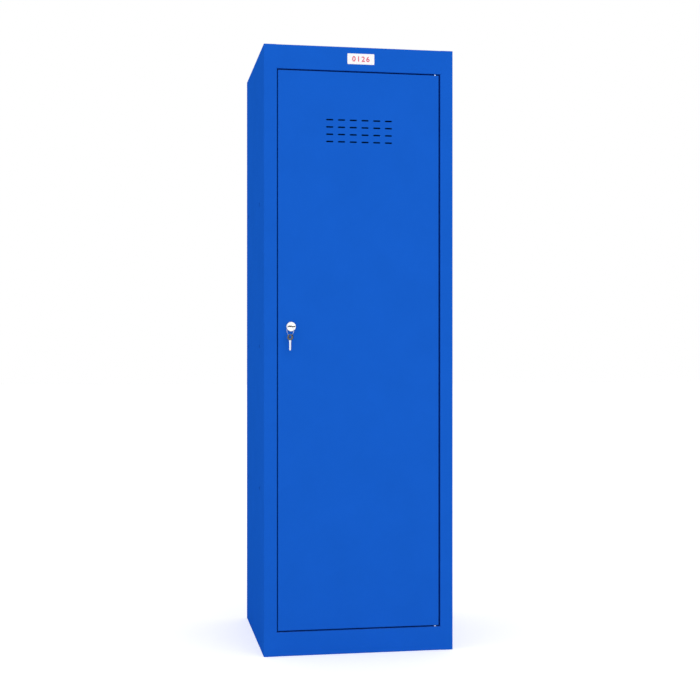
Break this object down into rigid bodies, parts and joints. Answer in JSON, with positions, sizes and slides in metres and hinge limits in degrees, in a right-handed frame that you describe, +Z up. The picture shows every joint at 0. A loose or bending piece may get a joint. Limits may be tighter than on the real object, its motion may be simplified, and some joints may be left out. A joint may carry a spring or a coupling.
{
  "type": "locker",
  "caption": "Tall narrow single-door steel locker with a vented, hinged door, a cam lock with keys, a hat shelf and a coat hook.",
  "frame": {"origin": "centre of the cabinet's underside, on the floor", "axes": "+X to the right seen from the front, +Y towards the back, +Z up"},
  "size_m": [0.386, 0.4083, 1.22],
  "materials": {
    "blue_paint": "powder coat, satin",
    "zinc_steel": "zinc plated",
    "chrome": "polished",
    "nickel": "nickel plated",
    "brass": "bare",
    "nylon": "matt",
    "rubber": "matt",
    "white_plate": "satin"
  },
  "bodies": {
    "cabinet": {"left_side_panel": "blue_paint", "right_side_panel": "blue_paint", "top_panel": "blue_paint", "bottom_panel": "blue_paint", "back_panel": "blue_paint", "shelf_runners": "blue_paint", "hat_shelf": "blue_paint", "shelf_rivets": "zinc_steel", "coat_hook": "zinc_steel", "hook_rivets": "zinc_steel", "door_buffers": "rubber", "number_plate": "white_plate", "upper_hinge_pin": "zinc_steel", "lower_hinge_pin": "zinc_steel"},
    "door": {"door_panel": "blue_paint", "door_stiffener": "blue_paint", "upper_hinge_plate": "zinc_steel", "lower_hinge_plate": "zinc_steel", "upper_hinge_bush": "nylon", "lower_hinge_bush": "nylon", "lock_body": "chrome", "lock_washer": "zinc_steel", "lock_nut": "zinc_steel"},
    "lock_plug": {"lock_plug": "nickel", "lock_wafers": "brass", "lock_cam": "zinc_steel", "cam_screw": "zinc_steel"},
    "key": {"key": "nickel"},
    "key_ring": {"key_ring": "zinc_steel"},
    "spare_key": {"spare_key": "nickel"}
  },
  "joints": [
    {"name": "door_hinge", "type": "hinge", "parent": "cabinet", "child": "door", "pos_m": [0.1571, -0.1866, 0.61], "axis": [0, 0, 1], "range_deg": [0, 110]},
    {"name": "lock_turn", "type": "hinge", "parent": "door", "child": "lock_plug", "pos_m": [-0.1383, -0.182, 0.6575], "axis": [0, -1, 0], "range_deg": [0, 90]},
    {"name": "key_slide", "type": "slide", "parent": "lock_plug", "child": "key", "axis": [0, -1, 0], "range_m": [0, 0.025]},
    {"name": "ring_hang", "type": "hinge", "parent": "key", "child": "key_ring", "pos_m": [-0.1383, -0.202, 0.6575], "axis": [0, -1, 0], "range_deg": [-90, 0]},
    {"name": "spare_swing", "type": "hinge", "parent": "key_ring", "child": "spare_key", "pos_m": [-0.1419, -0.2076, 0.6393], "axis": [-0.7193, -0.6947, 0], "range_deg": [-25, 60]}
  ],
  "couplings": [
    {"joint": "ring_hang", "follows": "lock_turn", "ratio": -1}
  ]
}
